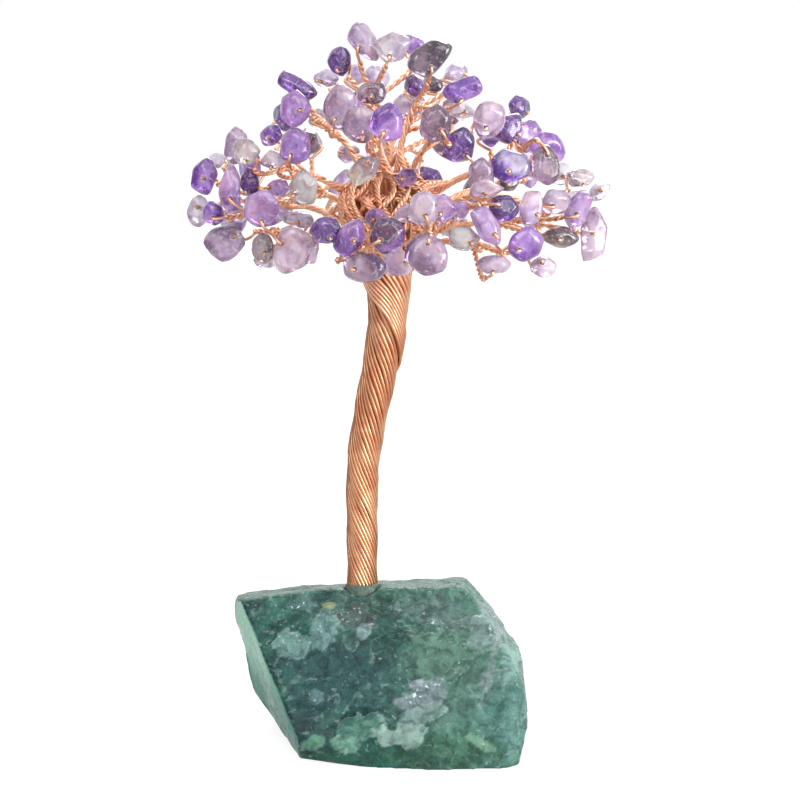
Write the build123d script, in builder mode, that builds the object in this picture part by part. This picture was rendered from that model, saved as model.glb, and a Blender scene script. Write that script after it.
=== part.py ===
# Gemstone tree: a twisted copper wire trunk that fans out into limbs, drilled stone chips held on
# the limbs by wire loops, and a broken block of fluorite that the trunk is cemented into.
# Millimetres, +Z up. The origin is on the sawn underside of the block, below the foot of the trunk,
# and the front of the tree looks along -Y.
import os
from math import atan2, cos, degrees, hypot, pi, radians, sin

from build123d import *

os.makedirs("parts", exist_ok=True)

# Fluorite block
rock_length = 52.4
rock_depth = 50
rock_height = 28.4
flake_depth = 0.6

# Copper wire
wire_diameter = 0.55
wire_clearance = 0.1
strand_gap = 0.03

# Trunk
trunk_length = 59.2
trunk_foot_diameter = 5.3
trunk_lean = 4.8
core_clearance = 0.05
trunk_lay_degrees = 28

# Socket in the block
socket_depth = 9
socket_clearance = 0.45
glue_clearance = 0.02
collar_height = 0.5

# Crown
crown_radius = 35.7
crown_height = 44.6
crown_depth = 30
crown_shift = 6.8
crown_drop = 3.3

# Limbs
limb_root_diameter = 1.4
limb_tip_diameter = 0.8
limb_clearance = 0.3
inner_ring_radius = 1.3
outer_ring_radius = 3.1

# Stone chips
chip_length = 8.3
chip_width = 8.3
chip_thickness = 3.2
hole_diameter = 1.0

# One overrun serves every cut.
overrun = 1.0

# Counts
strand_stations = 18
core_sides = 12
limb_stations = 6
limb_sides = 5
wire_sides = 4
loop_sides = 3
hole_sides = 4

# Cleavage faces of the block, each through three points in shares of its length, depth and height.
rock_left_share = -0.42
top_shares = ((-0.42, 0, 0.92), (0.353, 0, 0.963), (0, 0.1, 0.926))
upper_front_shares = ((-0.42, -0.06, 0.879), (0.353, -0.05, 0.972), (0.534, -0.44, 0.52))
lower_front_shares = ((-0.42, -0.06, 0.879), (0.534, -0.44, 0.52), (-0.216, -0.42, 0.16))
top_left_shares = ((-0.095, 0, 0.938), (-0.095, 0.1, 0.921), (-0.42, -0.06, 0.879))
top_right_shares = ((0.353, -0.05, 0.972), (0.356, 0.16, 0.926), (0.458, 0.04, 0.732))
front_foot_shares = ((0.017, -0.49, 0), (0.248, -0.526, 0), (0.206, -0.492, 0.241))
left_foot_shares = ((-0.183, -0.39, 0), (0.017, -0.49, 0), (-0.216, -0.42, 0.16))
right_foot_shares = ((0.248, -0.526, 0), (0.487, -0.502, 0), (0.534, -0.44, 0.52))
right_corner_shares = ((0.487, -0.502, 0), (0.542, -0.44, 0), (0.56, -0.4, 0.39))
cleavage_shares = (
    top_shares,
    top_left_shares,
    top_right_shares,
    upper_front_shares,
    lower_front_shares,
    front_foot_shares,
    left_foot_shares,
    right_foot_shares,
    right_corner_shares,
    ((-0.42, -0.06, 0.879), (-0.216, -0.42, 0.16), (-0.405, 0.06, 0.408)),
    ((-0.426, 0.06, 0.513), (-0.387, 0.06, 0.306), (-0.426, 0.16, 0.473)),
    ((-0.36, 0.04, 0.206), (-0.24, -0.2, 0.007), (-0.36, 0.14, 0.165)),
    ((0.36, -0.05, 0.975), (0.462, 0.04, 0.732), (0.534, -0.44, 0.52)),
    ((0.569, -0.16, 0.07), (0.546, -0.32, 0.458), (0.557, 0.24, 0.211)),
    ((0.562, -0.4, 0.21), (0.529, -0.44, 0), (0.529, -0.2, 0)),
    ((-0.286, 0.13, 0.905), (0.229, 0.15, 0.95), (0, 0.4, 0.423)),
    ((-0.19, 0.42, 0.282), (0.286, 0.44, 0.317), (0.095, 0.47, 0)),
    ((-0.43, 0.1, 0.775), (-0.229, 0.4, 0.493), (-0.153, 0.38, 0)),
    ((0.468, 0.08, 0.704), (0.382, 0.34, 0.528), (0.515, 0.3, 0)),
)

# Flakes broken out of the lower front face: place across and up, then half width and half height,
# in shares of the block's length and height.
flake_shares = (
    (-0.23, -0.17, 0.06, 0.09),
    (0.07, -0.53, 0.08, 0.06),
    (0.25, -0.30, 0.06, 0.08),
)
flake_outline_shares = ((1, 0.1), (0.5, 0.9), (-0.3, 1), (-1, 0.4), (-0.7, -0.6), (0.1, -1), (0.8, -0.6))

# The trunk leans between these shares of its length, and swells by these shares of its foot.
lean_start_share = 0.31
lean_end_share = 0.9
girth_shares = ((0, 1), (0.27, 1.05), (0.5, 1.13), (0.77, 1.26), (0.9, 1.38), (1, 1.7))

# Chip outlines as shares of the half length and half width, at even angles.
outline_shares = (
    (1.0, 0.95, 1.02, 0.9, 1.0, 0.96),
    (1.0, 0.88, 1.05, 0.98, 0.9),
    (0.95, 1.04, 0.9, 1.0, 1.02, 0.88),
    (1.0, 0.92, 1.0, 0.95, 1.03, 0.9, 0.97),
)
# A tumbled chip is widest at its girdle and narrows to both faces.
face_share = 0.64
thickness_shares = (1.0, 1.15, 0.9, 1.05)
pitch_degrees = (10, -8, 18, -14, 4)
facing_share = 0.35

# The hole lies off the middle of its chip, towards the limb, and the wire's tail ends part of the
# way from the hole to the shoulder. Only every few chips have their wire across the front.
hole_share = 0.4
tail_share = 0.5
front_wire_step = 4

# Limbs: name, ring, tip across, back and up, and how high the limb rises before it turns out, in
# shares of the crown. Limbs of a ring stand in this order round it. Each chip has its place
# across, back and up in shares of the crown, its length and width in shares of a chip, the tilt
# of its length in degrees, and where on its limb its wire leaves.
crown_shares = {
    "top_left": ("inner", (-0.14, 0.02, 0.74), 0.45, (
        (-0.18, -0.10, 0.95, 1.12, 0.60, -48, 1.0),
        (-0.035, -0.20, 0.93, 0.85, 0.78, 20, 0.95),
        (0.065, 0.15, 0.92, 0.65, 0.55, -10, 0.9),
        (-0.295, -0.05, 0.87, 0.68, 0.60, 70, 0.9),
        (-0.22, 0.20, 0.80, 0.60, 0.50, 0, 0.8),
        (-0.365, 0.15, 0.79, 0.65, 0.50, 10, 0.75),
    )),
    "upper_left": ("inner", (-0.36, -0.1, 0.62), 0.35, (
        (-0.50, -0.10, 0.77, 1.15, 0.55, -25, 1.0),
        (-0.505, -0.30, 0.695, 0.90, 0.80, 90, 0.95),
        (-0.29, -0.42, 0.71, 1.10, 0.80, 90, 0.9),
        (-0.405, 0.15, 0.625, 0.50, 0.45, 90, 0.8),
        (-0.255, 0.20, 0.49, 0.60, 0.50, 30, 0.7),
    )),
    "centre_front_up": ("inner", (-0.12, -0.3, 0.54), 0.35, (
        (-0.135, -0.40, 0.76, 0.75, 0.55, 0, 0.95),
        (-0.19, -0.52, 0.645, 0.90, 0.80, 90, 1.0),
        (-0.06, -0.65, 0.66, 0.90, 0.75, 80, 0.95),
        (-0.17, -0.70, 0.485, 0.80, 0.60, 40, 0.85),
        (0.035, -0.20, 0.42, 0.50, 0.45, 0, 0.7),
    )),
    "upper_right": ("inner", (0.18, -0.15, 0.58), 0.35, (
        (0.435, -0.25, 0.65, 0.90, 0.85, -70, 0.95),
        (0.17, -0.50, 0.65, 0.90, 0.75, 80, 1.0),
        (0.24, 0.35, 0.62, 0.65, 0.55, 0, 0.8),
    )),
    "top_right": ("inner", (0.08, 0.02, 0.70), 0.4, (
        (0.14, -0.15, 0.88, 1.22, 0.72, 30, 1.0),
        (0.275, 0.20, 0.81, 0.80, 0.50, 0, 0.9),
        (0.07, 0.12, 0.76, 0.70, 0.55, 0, 0.95),
        (0.16, 0.40, 0.75, 0.60, 0.45, 0, 0.8),
        (0.31, -0.15, 0.76, 1.22, 0.55, 20, 0.95),
        (0.295, 0.08, 0.67, 1.00, 0.50, -20, 0.75),
    )),
    "left_up": ("outer", (-0.6, -0.05, 0.45), 0.3, (
        (-0.805, -0.10, 0.535, 0.95, 0.60, 90, 1.0),
        (-0.745, -0.32, 0.53, 0.70, 0.70, 0, 0.95),
        (-0.635, -0.02, 0.575, 0.60, 0.55, 0, 0.9),
        (-0.615, -0.28, 0.495, 0.60, 0.45, 0, 0.8),
        (-0.505, -0.38, 0.555, 0.85, 0.80, 90, 0.75),
    )),
    "left_mid": ("outer", (-0.7, 0, 0.33), 0.18, (
        (-0.47, -0.45, 0.40, 0.85, 0.80, 90, 0.75),
        (-0.595, -0.30, 0.385, 0.55, 0.45, 0, 0.8),
        (-0.735, -0.18, 0.40, 0.65, 0.45, 90, 0.9),
        (-0.83, -0.30, 0.37, 1.25, 0.60, 90, 0.95),
        (-0.965, -0.05, 0.415, 0.90, 0.75, 80, 1.0),
        (-0.92, 0.25, 0.455, 0.50, 0.40, 0, 0.95),
        (-1.0, 0.05, 0.27, 0.75, 0.55, 90, 0.9),
        (-0.915, -0.22, 0.28, 0.60, 0.55, 90, 0.85),
        (-0.81, 0.13, 0.255, 0.65, 0.50, 0, 0.8),
    )),
    "front_left": ("outer", (-0.55, -0.15, 0.19), 0.12, (
        (-0.85, -0.25, 0.165, 1.45, 0.90, 10, 1.0),
        (-0.667, -0.36, 0.155, 0.75, 0.55, 90, 0.95),
        (-0.523, -0.49, 0.158, 1.30, 0.95, 80, 0.9),
        (-0.445, -0.25, 0.14, 0.75, 0.50, 90, 0.8),
        (-0.67, 0.10, 0.07, 0.65, 0.45, 0, 0.9),
        (-0.485, -0.22, 0.255, 0.85, 0.40, 0, 0.75),
        (-0.67, -0.47, 0.315, 1.05, 0.85, 80, 0.85),
    )),
    "front_centre_left": ("outer", (-0.2, -0.45, 0.16), 0.1, (
        (-0.17, -0.70, 0.11, 1.00, 0.75, 0, 1.0),
        (-0.06, -0.80, 0.24, 0.90, 0.80, 80, 0.95),
        (-0.24, -0.75, 0.23, 0.95, 0.70, 60, 0.75),
        (-0.35, -0.65, 0.25, 0.75, 0.65, 0, 0.8),
        (-0.115, -0.40, 0.28, 0.50, 0.45, 0, 0.7),
    )),
    "front_centre_right": ("outer", (0.15, -0.45, 0.18), 0.1, (
        (0.11, -0.85, 0.35, 0.85, 0.65, 80, 1.0),
        (0.195, -0.68, 0.34, 0.80, 0.70, 0, 0.95),
        (0.285, -0.55, 0.315, 0.50, 0.45, 0, 0.8),
        (0.13, -0.87, 0.172, 1.00, 1.00, 0, 0.85),
        (-0.01, -0.55, 0.115, 0.75, 0.65, 0, 0.85),
        (0.035, -0.48, 0.30, 0.55, 0.50, 0, 0.7),
    )),
    "front_right": ("outer", (0.42, -0.45, 0.17), 0.12, (
        (0.415, -0.75, 0.275, 1.10, 0.60, -60, 1.0),
        (0.605, -0.55, 0.18, 0.90, 0.85, 20, 0.95),
        (0.70, -0.35, 0.08, 0.65, 0.50, 0, 0.9),
        (0.445, -0.785, 0.13, 0.85, 0.45, 0, 0.9),
        (0.305, -0.70, 0.22, 0.70, 0.65, 0, 0.8),
    )),
    "right_mid": ("outer", (0.42, -0.3, 0.37), 0.2, (
        (0.393, -0.46, 0.445, 0.85, 0.62, 90, 1.0),
        (0.54, -0.35, 0.475, 1.00, 0.80, 0, 0.95),
        (0.76, -0.30, 0.33, 0.75, 0.65, 0, 0.9),
        (0.40, -0.65, 0.41, 0.90, 0.45, 0, 0.8),
        (0.53, -0.12, 0.39, 0.55, 0.40, 0, 0.75),
    )),
    "right_low": ("outer", (0.65, -0.15, 0.25), 0.14, (
        (0.985, 0.00, 0.35, 0.60, 0.40, 35, 1.0),
        (0.875, -0.20, 0.30, 1.05, 0.60, 75, 0.95),
        (0.955, -0.10, 0.185, 1.30, 0.80, 85, 0.9),
        (0.635, -0.45, 0.32, 0.95, 0.60, 60, 0.85),
        (0.80, -0.30, 0.19, 1.00, 0.50, -10, 0.8),
        (0.50, -0.55, 0.325, 0.75, 0.65, 0, 0.55),
        (0.89, -0.05, 0.41, 0.70, 0.50, 10, 1.0),
    )),
    "right_up": ("outer", (0.6, 0.0, 0.48), 0.3, (
        (0.29, -0.35, 0.55, 0.90, 0.75, 80, 0.75),
        (0.535, -0.10, 0.605, 0.85, 0.65, 50, 1.0),
        (0.64, 0.15, 0.56, 0.90, 0.75, 10, 0.95),
        (0.725, -0.10, 0.525, 1.00, 0.90, -20, 0.9),
        (0.71, -0.33, 0.475, 1.05, 0.72, 80, 0.95),
        (0.80, 0.18, 0.41, 0.70, 0.65, 0, 0.8),
    )),
    "back_right": ("outer", (0.45, 0.5, 0.33), 0.2, (
        (0.45, 0.62, 0.55, 0.95, 0.75, 20, 1.0),
        (0.65, 0.55, 0.40, 0.90, 0.70, 80, 0.95),
        (0.40, 0.85, 0.30, 1.05, 0.75, -30, 0.9),
        (0.68, 0.50, 0.20, 0.90, 0.65, 10, 0.85),
        (0.86, 0.30, 0.28, 0.85, 0.65, 60, 0.8),
        (0.60, 0.40, 0.66, 0.80, 0.60, -20, 0.9),
        (0.28, 0.78, 0.14, 0.95, 0.70, 0, 0.75),
    )),
    "back_centre": ("outer", (-0.05, 0.5, 0.5), 0.3, (
        (-0.10, 0.90, 0.45, 1.10, 0.80, 70, 1.0),
        (0.12, 0.90, 0.32, 0.95, 0.75, -20, 0.9),
        (0.05, 0.72, 0.64, 0.95, 0.70, 10, 0.95),
        (-0.24, 0.68, 0.64, 0.90, 0.70, 80, 0.9),
        (-0.12, 0.42, 0.78, 0.80, 0.65, 0, 0.85),
        (0.22, 0.82, 0.49, 0.85, 0.65, 50, 0.8),
        (-0.10, 0.80, 0.18, 0.95, 0.75, 0, 0.75),
    )),
    "back_left": ("outer", (-0.5, 0.5, 0.33), 0.2, (
        (-0.76, 0.45, 0.42, 0.95, 0.75, 80, 1.0),
        (-0.60, 0.60, 0.23, 0.95, 0.70, 0, 0.95),
        (-0.46, 0.65, 0.50, 0.95, 0.75, 30, 0.9),
        (-0.30, 0.85, 0.30, 1.00, 0.75, -60, 0.85),
        (-0.58, 0.42, 0.62, 0.85, 0.65, -20, 0.8),
        (-0.84, 0.35, 0.20, 0.90, 0.65, 20, 0.8),
        (-0.38, 0.70, 0.12, 0.85, 0.60, 10, 0.75),
    )),
}

# Sizes worked out from the ones above
wire_radius = wire_diameter / 2
flake_middle = rock_length / 2
thick_stations = limb_stations // 2


def rock_point(shares):
    """A point of the block from its shares of the block's length, depth and height."""
    across, back, up = shares
    return Vector(across * rock_length, back * rock_depth, up * rock_height)


def rock_face(shares, lift=0):
    """The plane through three points of the block, facing outwards and lifted off the face."""
    first, second, third = (rock_point(point) for point in shares)
    normal = (second - first).cross(third - first).normalized()
    if normal.dot(rock_point((0.05, 0, 0.5)) - first) > 0:
        normal = normal * -1
    return Plane(origin=first + normal * lift, x_dir=second - first, z_dir=normal)


# The foot is where the upright through the origin meets the block's top face.
top_face = rock_face(top_shares)
foot_height = top_face.origin.dot(top_face.z_dir) / top_face.z_dir.Z
trunk_bottom = foot_height - socket_depth
trunk_top = foot_height + trunk_length
whole_trunk = trunk_length + socket_depth
crown_base = trunk_top - crown_drop

# As many wires lie side by side round the foot as their slanting width allows.
strand_pitch = (wire_diameter + strand_gap) / cos(radians(trunk_lay_degrees))
strand_count = int(pi * (trunk_foot_diameter - wire_diameter) / strand_pitch) - 1
twist_per_length = 2 * sin(radians(trunk_lay_degrees)) / trunk_foot_diameter
strand_step = twist_per_length * whole_trunk / strand_stations


def trunk_centre(height):
    """The trunk's middle at a height above the underside: upright below, then leaning right."""
    share = (height - foot_height) / trunk_length
    share = (share - lean_start_share) / (lean_end_share - lean_start_share)
    share = min(max(share, 0), 1)
    return Vector(trunk_lean * share * share * (3 - 2 * share), 0, height)


def trunk_radius(height):
    """The trunk's outer radius at a height, between the stations of its girth."""
    share = max((height - foot_height) / trunk_length, 0)
    for (low, low_girth), (high, high_girth) in zip(girth_shares, girth_shares[1:]):
        if share <= high:
            break
    girth = low_girth + (high_girth - low_girth) * min((share - low) / (high - low), 1)
    return girth * trunk_foot_diameter / 2


def strand_point(strand, station):
    """One point of one outer wire, on a left-hand helix round the leaning trunk."""
    height = trunk_bottom + whole_trunk * station / strand_stations
    radius = trunk_radius(height) - wire_radius
    angle = 2 * pi * strand / strand_count - strand_step * station
    return trunk_centre(height) + Vector(radius * cos(angle), radius * sin(angle), 0)


def core_radius(height):
    """The inner wires fill what the outer wires, straight between their stations, leave free."""
    middle = (trunk_radius(height) - wire_radius) * cos(strand_step / 2)
    return middle - wire_radius - core_clearance


def crown_point(shares):
    """A place in the crown from its shares across, back and up."""
    across, back, up = shares
    return Vector(
        crown_shift + across * crown_radius, back * crown_depth, crown_base + up * crown_height
    )


def chip_plane(place, tilt, pitch):
    """The middle plane of a chip, which faces partly forwards and partly away from the trunk."""
    centre = crown_point(place)
    turn = atan2(place[0], -place[1])
    turn = turn * (facing_share + (1 - facing_share) * (abs(turn) / pi) ** 3)
    lean = radians(pitch)
    normal = Vector(sin(turn) * cos(lean), -cos(turn) * cos(lean), sin(lean))
    level = Vector(cos(turn), sin(turn), 0)
    upward = normal.cross(level)
    along = level * cos(radians(tilt)) + upward * sin(radians(tilt))
    return Plane(origin=centre, x_dir=along, z_dir=normal)


def chip_inset(width):
    """How far a chip's flat faces stand in from its girdle."""
    return (1 - face_share) * width / 2


def chip_outline(length, width, shares):
    """The corners of a chip's girdle, in its own plane."""
    step = 2 * pi / len(shares)
    return [
        (share * length / 2 * cos(step * index), share * width / 2 * sin(step * index))
        for index, share in enumerate(shares)
    ]


def chip_wire(start, plane, length, width, thickness, facing):
    """The route of a chip's wire, from its tail through the hole, over the rim and down to its
    limb, the direction square to its loop, and the hole's place on the chip. The wire crosses the
    chip's front when facing is 1, and its back when facing is -1."""
    away = start - plane.origin
    angle = atan2(away.dot(plane.y_dir), away.dot(plane.x_dir))
    side = plane.x_dir * cos(angle) + plane.y_dir * sin(angle)
    reach = 1 / hypot(2 * cos(angle) / length, 2 * sin(angle) / width)
    stand_off = wire_radius + wire_clearance
    front = plane.z_dir * facing * (thickness / 2 + stand_off)
    hole = reach * hole_share
    shoulder = reach - chip_inset(width) + stand_off
    tail = hole + (shoulder - hole) * tail_share
    route = [
        plane.origin + side * tail - front,
        plane.origin + side * hole - front,
        plane.origin + side * hole + front,
        plane.origin + side * shoulder + front,
        plane.origin + side * (reach + 2 * stand_off),
        start,
    ]
    return route, plane.z_dir.cross(side), (hole * cos(angle), hole * sin(angle))


def rod_along(route, square, diameter, sides):
    """A straight-sided wire or rod along a route of points, mitred at its bends."""
    with BuildPart() as rod:
        with BuildLine():
            Polyline(*route)
        with BuildSketch(Plane(origin=route[0], x_dir=square, z_dir=route[1] - route[0])):
            RegularPolygon(diameter / 2, sides)
        sweep(transition=Transition.RIGHT)
    return rod.part


def drilled_chip(plane, length, width, thickness, shares, hole):
    """A chip, widest at its girdle and flat on both faces, with its drilled hole."""
    narrowing = degrees(atan2(2 * chip_inset(width), thickness))
    with BuildPart() as chip:
        with BuildSketch():
            with BuildLine():
                Polyline(*chip_outline(length, width, shares), close=True)
            make_face()
        extrude(amount=thickness / 2, taper=narrowing)
        mirror(about=Plane.XY)
        with BuildSketch():
            with Locations(hole):
                RegularPolygon(hole_diameter / 2, hole_sides)
        extrude(amount=thickness, both=True, mode=Mode.SUBTRACT)
    return plane.location * chip.part


# The crown's limbs and chips, worked out once for the wires and for the stones.
limbs = {}
for ring, ring_radius in (("inner", inner_ring_radius), ("outer", outer_ring_radius)):
    names = [name for name, row in crown_shares.items() if row[0] == ring]
    for index, name in enumerate(names):
        _, tip_shares, rise_share, chip_rows = crown_shares[name]
        angle = radians(150) + 2 * pi * index / len(names)
        root = trunk_centre(trunk_top) + Vector(
            ring_radius * cos(angle), ring_radius * sin(angle), limb_clearance
        )
        knee = root + Vector(0, 0, rise_share * crown_height)
        tip = crown_point(tip_shares)
        curve = Bezier(root, knee, tip)
        route = [curve @ (station / limb_stations) for station in range(limb_stations + 1)]
        stem = Polyline(*route)
        chips = []
        for number, (across, back, up, long_share, wide_share, tilt, leave) in enumerate(chip_rows):
            kind = number + index
            thickness = chip_thickness * thickness_shares[kind % len(thickness_shares)]
            plane = chip_plane((across, back, up), tilt, pitch_degrees[kind % len(pitch_degrees)])
            length = chip_length * long_share
            width = chip_width * wide_share
            facing = 1 if kind % front_wire_step == 0 else -1
            loop, square, hole = chip_wire(stem @ leave, plane, length, width, thickness, facing)
            outline = outline_shares[kind % len(outline_shares)]
            chips.append((plane, length, width, thickness, outline, hole, loop, square))
        limbs[name] = (route, Vector(0, 0, 1).cross(tip - root), chips)

# The block of fluorite, split along its cleavage faces, flaked, and drilled for the trunk
socket_radius = trunk_foot_diameter / 2 + socket_clearance
with BuildPart() as fluorite_base:
    with Locations((rock_left_share * rock_length - overrun, 0, 0)):
        Box(
            rock_length + 2 * overrun,
            rock_depth + 4 * overrun,
            rock_height + overrun,
            align=(Align.MIN, Align.CENTER, Align.MIN),
        )
    for shares in cleavage_shares:
        split(bisect_by=rock_face(shares), keep=Keep.BOTTOM)
    flaked_face = rock_face(lower_front_shares)
    for across, up, half_wide, half_high in flake_shares:
        with BuildSketch(flaked_face):
            with BuildLine():
                Polyline(
                    *[
                        (
                            (across + x * half_wide) * rock_length + flake_middle,
                            (up + y * half_high) * rock_height,
                        )
                        for x, y in flake_outline_shares
                    ],
                    close=True,
                )
            make_face()
        extrude(amount=-flake_depth, mode=Mode.SUBTRACT)
    with Locations((0, 0, trunk_bottom)):
        Cylinder(
            socket_radius,
            rock_height,
            align=(Align.CENTER, Align.CENTER, Align.MIN),
            mode=Mode.SUBTRACT,
        )
fluorite_base.part.label = "fluorite_base"
export_step(fluorite_base.part, "parts/fluorite_base.step")

# The cement between the trunk and the socket, with a low collar that follows the block's top
with BuildPart() as socket_adhesive:
    with Locations((0, 0, trunk_bottom)):
        Cylinder(
            socket_radius - glue_clearance,
            rock_height,
            align=(Align.CENTER, Align.CENTER, Align.MIN),
        )
        Cylinder(
            trunk_foot_diameter / 2 + glue_clearance,
            rock_height,
            align=(Align.CENTER, Align.CENTER, Align.MIN),
            mode=Mode.SUBTRACT,
        )
    split(bisect_by=rock_face(top_shares, collar_height), keep=Keep.BOTTOM)
socket_adhesive.part.label = "socket_adhesive"
export_step(socket_adhesive.part, "parts/socket_adhesive.step")

# The inner wires of the trunk, as one bundle
with BuildPart() as trunk_core:
    for station in range(0, strand_stations + 1, 2):
        height = trunk_bottom + whole_trunk * station / strand_stations
        with BuildSketch(Plane(origin=trunk_centre(height))):
            RegularPolygon(core_radius(height), core_sides)
    loft(ruled=True)
trunk_core.part.label = "trunk_core"
export_step(trunk_core.part, "parts/trunk_core.step")

# The outer wires of the trunk
for strand in range(strand_count):
    route = [strand_point(strand, station) for station in range(strand_stations + 1)]
    outwards = route[0] - trunk_centre(trunk_bottom)
    with BuildPart() as trunk_wire:
        add(rod_along(route, outwards, wire_diameter, wire_sides))
    name = f"trunk_wire_{strand + 1:02}"
    trunk_wire.part.label = name
    export_step(trunk_wire.part, f"parts/{name}.step")

# Each limb, thick near the trunk where all its wires run together and thin past its middle, with
# the wires that leave it, and the chips strung on those wires
for name, (route, across, chips) in limbs.items():
    rods = [
        rod_along(route, across, limb_tip_diameter, limb_sides),
        rod_along(route[: thick_stations + 1], across, limb_root_diameter, limb_sides),
    ]
    for *_, loop, square in chips:
        rods.append(rod_along(loop, square, wire_diameter, loop_sides))
    with BuildPart() as limb:
        add(rods)
    limb.part.label = f"limb_{name}"
    export_step(limb.part, f"parts/limb_{name}.step")

    stones = [drilled_chip(*shape) for *shape, _, _ in chips]
    with BuildPart() as chip_group:
        add(stones)
    chip_group.part.label = f"chips_{name}"
    export_step(chip_group.part, f"parts/chips_{name}.step")
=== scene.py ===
# %% [markdown]
# A gemstone tree, made for a shelf: two dozen copper wires are twisted into a trunk, the trunk
# fans out into ropes of wire, each rope parts into twisted pairs, and each pair is looped through
# the drilled hole of a tumbled amethyst chip. The trunk's foot is cemented into a rough block of
# green fluorite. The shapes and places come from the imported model, which is loaded as a fixed
# frame. This lesson dresses it: real round wires that twist, chips with tumbled corners, stone
# with depth, and a block with its flakes and bruises.

from math import atan2, cos, pi, radians, sin

import bmesh
import bpy
from mathutils import Matrix, Vector, noise


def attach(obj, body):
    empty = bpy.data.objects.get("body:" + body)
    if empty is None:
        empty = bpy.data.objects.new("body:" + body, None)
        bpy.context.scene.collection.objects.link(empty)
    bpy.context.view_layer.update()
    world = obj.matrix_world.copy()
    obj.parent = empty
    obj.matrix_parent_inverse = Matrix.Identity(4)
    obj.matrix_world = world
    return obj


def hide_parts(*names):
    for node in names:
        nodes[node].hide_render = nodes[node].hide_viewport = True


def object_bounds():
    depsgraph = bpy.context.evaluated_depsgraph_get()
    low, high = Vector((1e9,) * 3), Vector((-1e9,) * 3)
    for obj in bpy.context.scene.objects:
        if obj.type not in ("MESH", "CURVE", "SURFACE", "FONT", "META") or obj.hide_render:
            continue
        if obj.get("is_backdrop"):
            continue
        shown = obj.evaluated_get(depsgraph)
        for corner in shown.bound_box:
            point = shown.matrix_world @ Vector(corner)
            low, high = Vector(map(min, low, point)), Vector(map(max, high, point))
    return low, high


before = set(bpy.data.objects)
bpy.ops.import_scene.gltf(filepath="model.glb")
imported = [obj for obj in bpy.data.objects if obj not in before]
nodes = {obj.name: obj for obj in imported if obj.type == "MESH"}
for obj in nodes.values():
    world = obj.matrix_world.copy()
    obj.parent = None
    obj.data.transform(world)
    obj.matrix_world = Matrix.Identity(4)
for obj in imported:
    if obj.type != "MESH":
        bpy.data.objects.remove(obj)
cad_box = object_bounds()
mm = 0.001
print("box in mm", [round(side / mm, 1) for side in cad_box[1] - cad_box[0]], "nodes", len(nodes))

# %% [markdown]
# The camera comes first, because everything after it is judged through it. The photograph looks
# ten degrees down on the tree from 60 cm away, with a long lens that hardly spreads the view.

# %% Camera
camera_elevation = radians(10)
camera_distance = 600 * mm
camera_target = Vector((6.8, 0, 60.9)) * mm
lens_length = 151.2
sensor_width = 36

camera_data = bpy.data.cameras.new("photo_camera")
camera_data.lens = lens_length
camera_data.sensor_width = sensor_width
camera = bpy.data.objects.new("photo_camera", camera_data)
camera.location = camera_target + camera_distance * Vector(
    (0, -cos(camera_elevation), sin(camera_elevation))
)
camera.rotation_euler = (pi / 2 - camera_elevation, 0, 0)
scene = bpy.context.scene
scene.collection.objects.link(camera)
scene.camera = camera
scene.view_settings.view_transform = "Standard"
print("camera at", [round(x, 3) for x in camera.location])

# %% [markdown]
# Small helpers. Colours are written as they look on a screen, from 0 to 255, and the shaders
# want them linear. Every new mesh is put into the scene, tied to the body, and the CAD nodes that
# it stands for are hidden, in one place, so that no piece is forgotten.

# %% Helpers for colours and pieces
weld_within = 0.001 * mm


def paint(red, green, blue):
    """A linear colour from one written as it looks on a screen."""
    shares = (red / 255, green / 255, blue / 255)
    return tuple(s / 12.92 if s < 0.04045 else ((s + 0.055) / 1.055) ** 2.4 for s in shares) + (1,)


def pigment(red, green, blue):
    """The same colour as a vector, to be mixed point by point."""
    return Vector(paint(red, green, blue)[:3])


def add_piece(name, mesh, material, replaced):
    """A finished mesh becomes a piece of the object, in place of its CAD nodes."""
    piece = bpy.data.objects.new(name, mesh)
    scene.collection.objects.link(piece)
    mesh.materials.append(material)
    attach(piece, "root")
    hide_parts(*replaced)
    print(name, "faces", len(mesh.polygons))


def merged_copy(node_name):
    """A bmesh copy of a CAD node, with its loose triangles joined up."""
    form = bmesh.new()
    form.from_mesh(nodes[node_name].data)
    bmesh.ops.remove_doubles(form, verts=form.verts, dist=weld_within)
    return form


def form_object(name, form):
    """A bmesh becomes an object in the scene, and is freed."""
    mesh = bpy.data.meshes.new(name)
    form.to_mesh(mesh)
    form.free()
    holder = bpy.data.objects.new(name, mesh)
    scene.collection.objects.link(holder)
    return holder


# %% [markdown]
# Four more helpers build the materials. A socket takes either a plain value or what another node
# puts out, so that one call serves for both.


# %% Helpers for shader nodes
def feed(tree, socket, value):
    """A socket takes a plain value or another node's output."""
    if isinstance(value, bpy.types.NodeSocket):
        tree.links.new(value, socket)
    else:
        socket.default_value = value


def combine(tree, operation, first, second):
    """A sum, product or the like of two masks or numbers."""
    step = tree.nodes.new("ShaderNodeMath")
    step.operation = operation
    feed(tree, step.inputs[0], first)
    feed(tree, step.inputs[1], second)
    return step.outputs[0]


def ranged(tree, mask, low, high):
    """A mask spread from a low to a high value."""
    spread = tree.nodes.new("ShaderNodeMapRange")
    feed(tree, spread.inputs["Value"], mask)
    feed(tree, spread.inputs["To Min"], low)
    feed(tree, spread.inputs["To Max"], high)
    return spread.outputs["Result"]


def new_finish(name, **values):
    """A material with its shader's plain values set, and the shader."""
    finish = bpy.data.materials.new(name)
    finish.use_nodes = True
    shader = finish.node_tree.nodes["Principled BSDF"]
    for label, value in values.items():
        shader.inputs[label.replace("_", " ")].default_value = value
    return finish, finish.node_tree, shader


# %% [markdown]
# The floor is a pale sheet. To the camera it is mostly plain white, so that it runs into the
# background, and the rest of it still takes the soft shadow of the block. In reflections it is
# dimmer, which gives the wires and stones a shaded underside. The world is one even white.

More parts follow.
